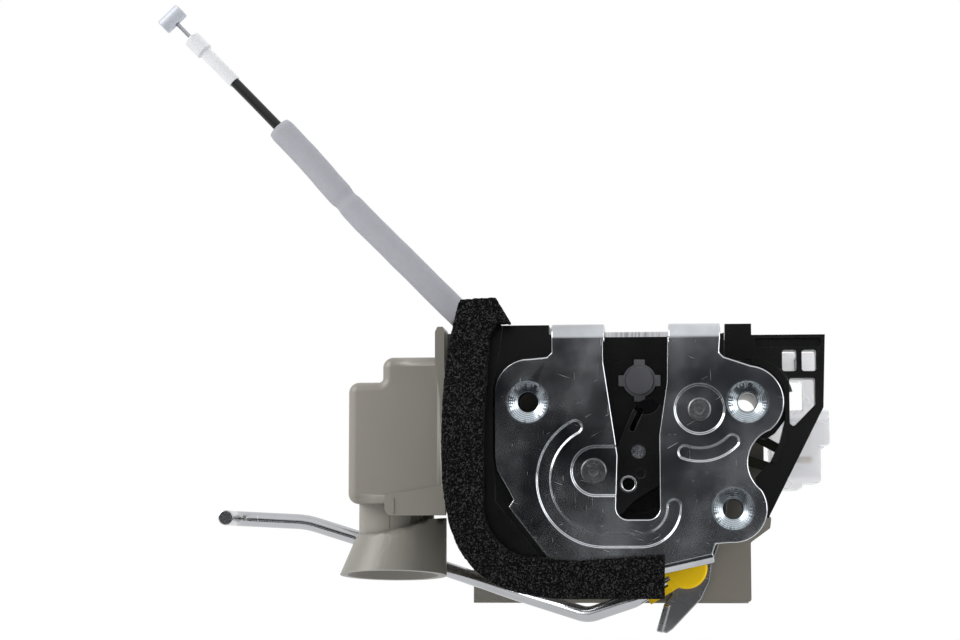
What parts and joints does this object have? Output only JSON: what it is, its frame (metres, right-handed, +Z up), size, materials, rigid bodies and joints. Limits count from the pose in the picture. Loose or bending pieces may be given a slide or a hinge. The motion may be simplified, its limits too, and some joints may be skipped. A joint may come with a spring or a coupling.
{
  "type": "door latch actuator",
  "caption": "Vehicle door latch with a claw and pawl behind a steel face plate, a geared lock actuator case, a release rod and a sleeved pull cable.",
  "frame": {"origin": "axis of the latched striker bar, at the outer face of the face plate", "axes": "-Y points out of the face plate towards the viewer, +Z up the open end of the striker slot, +X to the viewer's right"},
  "size_m": [0.1994, 0.0544, 0.1879],
  "materials": {
    "plate_steel": "dark phosphated sheet steel with a soft mirror sheen",
    "bright_steel": "bright zinc-plated steel",
    "black_plastic": "black moulded plastic",
    "beige_plastic": "grey-beige moulded plastic",
    "olive_steel": "olive passivated sheet steel",
    "yellow_plastic": "yellow moulded plastic",
    "clear_plastic": "milky translucent plastic",
    "white_plastic": "off-white plastic",
    "grey_plug": "grey-white moulded plug",
    "foam": "open-cell black foam",
    "sleeve_foam": "grey foam sleeve",
    "zinc": "die-cast zinc",
    "copper_tin": "tinned brass",
    "spring_steel": "spring wire"
  },
  "bodies": {
    "latch": {"face_plate": "plate_steel", "latch_body": "black_plastic", "back_plate": "bright_steel", "claw_pin": "bright_steel", "pawl_pin": "bright_steel", "lever_pin": "bright_steel", "slot_plug": "grey_plug", "slot_buffer": "black_plastic", "claw_spring": "spring_steel", "pawl_spring": "spring_steel", "actuator_case": "beige_plastic", "actuator_cover": "beige_plastic", "cover_screws": "bright_steel", "contact_carrier": "black_plastic", "claw_switch": "black_plastic", "lock_switch": "black_plastic", "motor_can": "bright_steel", "wheel_axle": "bright_steel", "lock_axle": "bright_steel", "side_frame": "black_plastic", "connector_shell": "clear_plastic", "terminal_pins": "copper_tin", "cable_clamp": "beige_plastic", "cable_conduit": "black_plastic", "cable_sleeve": "sleeve_foam", "cable_ferrule": "white_plastic", "foam_seal": "foam"},
    "claw": {"claw_core": "bright_steel", "claw_coat": "black_plastic", "claw_bush": "bright_steel"},
    "pawl": {"pawl_core": "bright_steel", "pawl_coat": "black_plastic"},
    "lever": {"release_lever": "bright_steel"},
    "rod": {"release_rod": "bright_steel", "rod_clip": "yellow_plastic"},
    "inside": {"inside_lever": "olive_steel"},
    "inner_wire": {"cable_core": "spring_steel"},
    "cable_end": {"cable_wire": "spring_steel", "cable_nipple": "zinc"},
    "wheel": {"worm_wheel": "white_plastic"},
    "worm_shaft": {"worm": "white_plastic"},
    "lock": {"lock_lever": "black_plastic"},
    "key": {"key_rotor": "beige_plastic"}
  },
  "joints": [
    {"name": "claw_turn", "type": "hinge", "parent": "latch", "child": "claw", "pos_m": [-0.0123, 0.0066, 0.0034], "axis": [0, 1, 0], "range_deg": [0, 90], "stiffness_Nm_per_rad": 0.02, "springref_deg": -34.38},
    {"name": "release_lever_turn", "type": "hinge", "parent": "latch", "child": "lever", "pos_m": [0.0175, 0.0174, -0.0104], "axis": [0, -1, 0], "range_deg": [-6.96, 10.43], "stiffness_Nm_per_rad": 0.05},
    {"name": "pawl_turn", "type": "hinge", "parent": "latch", "child": "pawl", "pos_m": [0.0175, 0.0066, 0.0207], "axis": [0, 1, 0], "range_deg": [-8.1, 12.1]},
    {"name": "rod_swing", "type": "hinge", "parent": "lever", "child": "rod", "pos_m": [0.0134, 0.012, -0.0236], "axis": [0, -1, 0], "range_deg": [-10.5, 7]},
    {"name": "cable_pull", "type": "slide", "parent": "latch", "child": "cable_end", "axis": [-0.6983, 0.0393, 0.7147], "range_m": [0, 0.006]},
    {"name": "inner_wire_slide", "type": "slide", "parent": "latch", "child": "inner_wire", "axis": [-0.9929, 0, 0.1187], "range_m": [0, 0.006]},
    {"name": "inside_lever_turn", "type": "hinge", "parent": "latch", "child": "inside", "pos_m": [0.0175, 0.0174, 0.0207], "axis": [0, -1, 0], "range_deg": [0, 18.5]},
    {"name": "lock_wheel_turn", "type": "hinge", "parent": "latch", "child": "wheel", "pos_m": [-0.008, 0.033, -0.0074], "axis": [0, 1, 0], "range_deg": [-45, 45]},
    {"name": "motor_spin", "type": "hinge", "parent": "latch", "child": "worm_shaft", "pos_m": [-0.008, 0.033, 0.012], "axis": [1, 0, 0], "range_deg": [-1440, 1440]},
    {"name": "lock_lever_turn", "type": "hinge", "parent": "latch", "child": "lock", "pos_m": [0.015, 0.0386, -0.006], "axis": [0, 1, 0], "range_deg": [-15, 15]},
    {"name": "key_turn", "type": "hinge", "parent": "latch", "child": "key", "pos_m": [-0.071, 0.025, -0.01], "axis": [0, 0, 1], "range_deg": [-60, 60]}
  ],
  "couplings": [
    {"joint": "pawl_turn", "follows": "release_lever_turn", "ratio": 1.15},
    {"joint": "rod_swing", "follows": "release_lever_turn", "ratio": -1},
    {"joint": "inner_wire_slide", "follows": "cable_pull", "ratio": 1},
    {"joint": "inside_lever_turn", "follows": "cable_pull", "rad_per_m": 53.523},
    {"joint": "motor_spin", "follows": "lock_wheel_turn", "ratio": 32},
    {"joint": "lock_lever_turn", "follows": "lock_wheel_turn", "ratio": -0.333}
  ]
}
